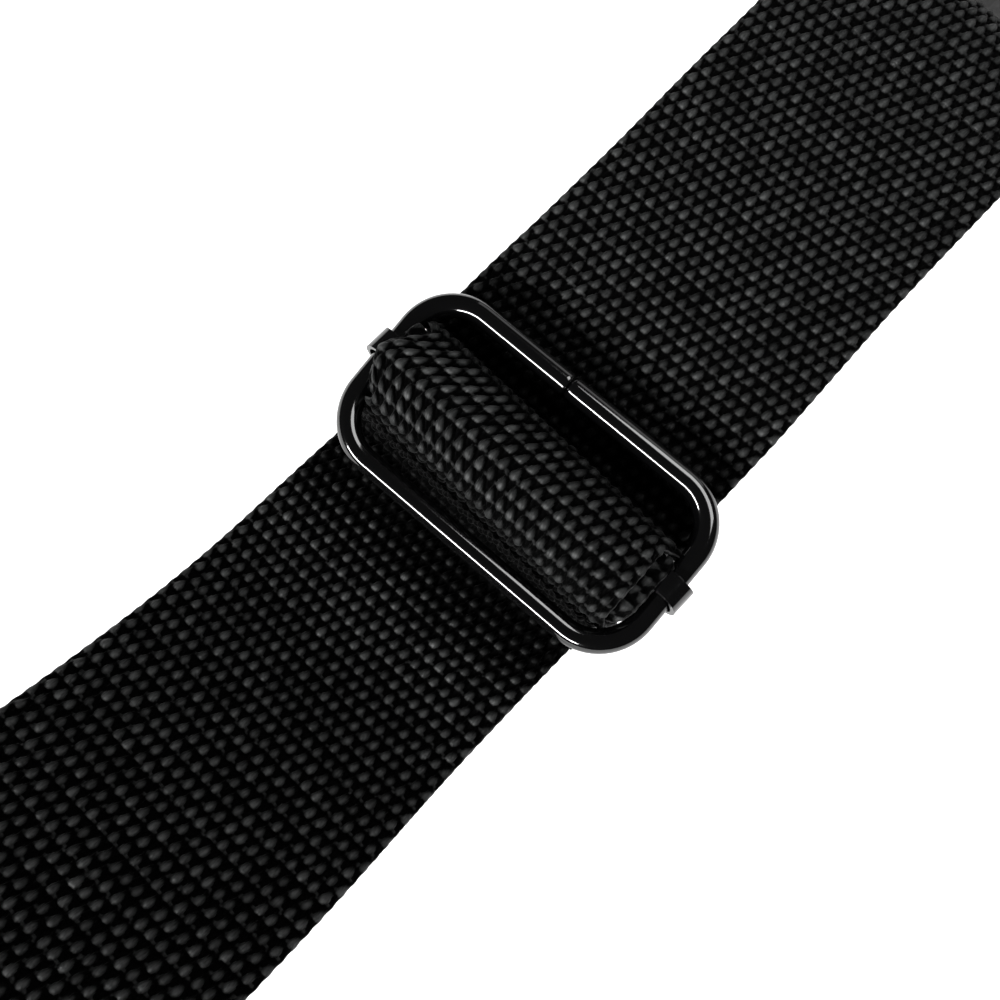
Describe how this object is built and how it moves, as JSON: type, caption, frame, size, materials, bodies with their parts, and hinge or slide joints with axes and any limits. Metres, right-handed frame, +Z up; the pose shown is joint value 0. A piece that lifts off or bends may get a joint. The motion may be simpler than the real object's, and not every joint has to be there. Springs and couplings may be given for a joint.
{
  "type": "guitar strap",
  "caption": "Adjustable guitar strap of woven webbing with a sliding wire adjuster, an end ring and leather end tabs with button holes, laid down in a Z-fold.",
  "frame": {"origin": "on the underside of the webbing that lies on the surface, straight below the middle of the slide", "axes": "+X along the strap towards end tab A, +Y across the webbing, +Z up from the surface that the strap lies on"},
  "size_m": [0.5857, 0.061, 0.0552],
  "materials": {
    "webbing": "woven, slightly shiny",
    "thread": "waxed thread",
    "leather": "satin",
    "wire": "gloss",
    "bar_strip": "gloss"
  },
  "bodies": {
    "strap": {"shoulder_webbing": "webbing", "shoulder_run": "webbing", "tab_a_back_leather": "leather", "tab_a_front_leather": "leather", "tab_a_edge_stitching": "thread", "tab_a_box_stitching": "thread"},
    "slide": {"slide_webbing": "webbing", "sewn_end_webbing": "webbing", "sewn_end_stitching": "thread", "movable_bar": "bar_strip", "adjusting_webbing": "webbing", "return_webbing": "webbing"},
    "loop": {"wire_loop": "wire"},
    "ring_bight": {"ring_bight_webbing": "webbing"},
    "ring": {"end_ring": "wire"},
    "tab_b": {"tab_b_back_leather": "leather", "tab_b_front_leather": "leather", "tab_b_edge_stitching": "thread", "tab_b_box_stitching": "thread", "tab_b_loop_webbing": "webbing"}
  },
  "joints": [
    {"name": "slide_travel", "type": "slide", "parent": "strap", "child": "slide", "axis": [1, 0, 0], "range_m": [-0.045, 0.035], "deforming": ["shoulder_run", "adjusting_webbing", "return_webbing"]},
    {"name": "loop_shift", "type": "slide", "parent": "slide", "child": "loop", "axis": [0.9934, 0.0625, 0.0959], "range_m": [-0.0012, 0.0003]},
    {"name": "ring_travel", "type": "slide", "parent": "slide", "child": "ring_bight", "axis": [1, 0, 0], "range_m": [-0.0175, 0.0225]},
    {"name": "ring_swing", "type": "hinge", "parent": "ring_bight", "child": "ring", "pos_m": [-0.25, 0, 0.00375], "axis": [0, 1, 0], "range_deg": [0, 90]},
    {"name": "tab_b_swing", "type": "hinge", "parent": "ring", "child": "tab_b", "pos_m": [-0.2677, 0, 0.00375], "axis": [0, 1, 0], "range_deg": [0, 60]}
  ],
  "couplings": [
    {"joint": "ring_travel", "follows": "slide_travel", "ratio": -0.5}
  ]
}
